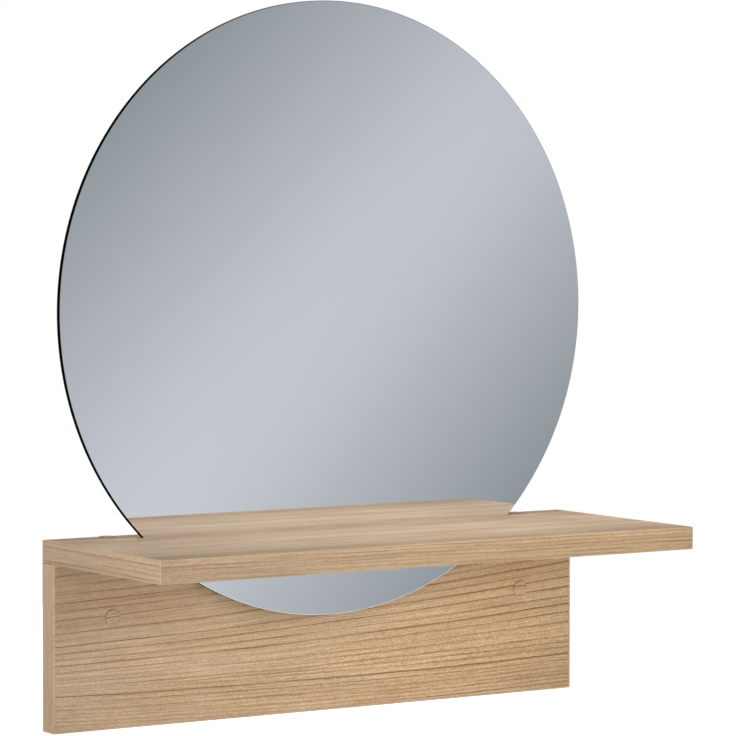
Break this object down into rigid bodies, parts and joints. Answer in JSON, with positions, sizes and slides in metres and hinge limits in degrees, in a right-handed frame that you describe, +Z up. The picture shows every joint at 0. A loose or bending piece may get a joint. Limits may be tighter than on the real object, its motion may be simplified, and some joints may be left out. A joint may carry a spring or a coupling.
{
  "type": "wall mirror with shelf",
  "caption": "Round frameless wall mirror that passes through a wood-decor shelf, with a back panel of the same width under the shelf and cover caps over the screws.",
  "frame": {"origin": "midway between the two wall screw holes of the back panel, on the wall plane", "axes": "+Z up, +Y into the wall, X along the width; the mirror looks towards -Y"},
  "size_m": [0.6, 0.225, 0.696],
  "materials": {
    "decor_board": "satin light oak decor on chipboard, fine grain along the width",
    "decor_edging": "satin light oak decor on plastic edging, slightly rounded corners",
    "cover_cap": "satin light oak decor",
    "mirror_glass": "silvered float glass with ground rim",
    "safety_film": "matt dark film",
    "foam_tape": "white foam tape",
    "carrier_fibreboard": "raw fibreboard",
    "zinc_steel": "zinc plated",
    "dowel_wood": "bare beech"
  },
  "bodies": {
    "root": {"shelf_board": "decor_board", "shelf_front_edging": "decor_edging", "shelf_back_edging": "decor_edging", "shelf_left_edging": "decor_edging", "shelf_right_edging": "decor_edging", "back_panel": "decor_board", "panel_left_edging": "decor_edging", "panel_right_edging": "decor_edging", "panel_bottom_edging": "decor_edging", "shelf_screws": "zinc_steel", "shelf_screw_caps": "cover_cap", "shelf_dowels": "dowel_wood", "wall_screw_caps": "cover_cap", "mirror_glass": "mirror_glass", "mirror_film": "safety_film", "mirror_tape": "foam_tape", "carrier_board": "carrier_fibreboard", "carrier_screws": "zinc_steel", "wall_spacer": "decor_board", "spacer_screws": "zinc_steel", "hanger_plates": "zinc_steel", "hanger_screws": "zinc_steel"}
  },
  "joints": []
}
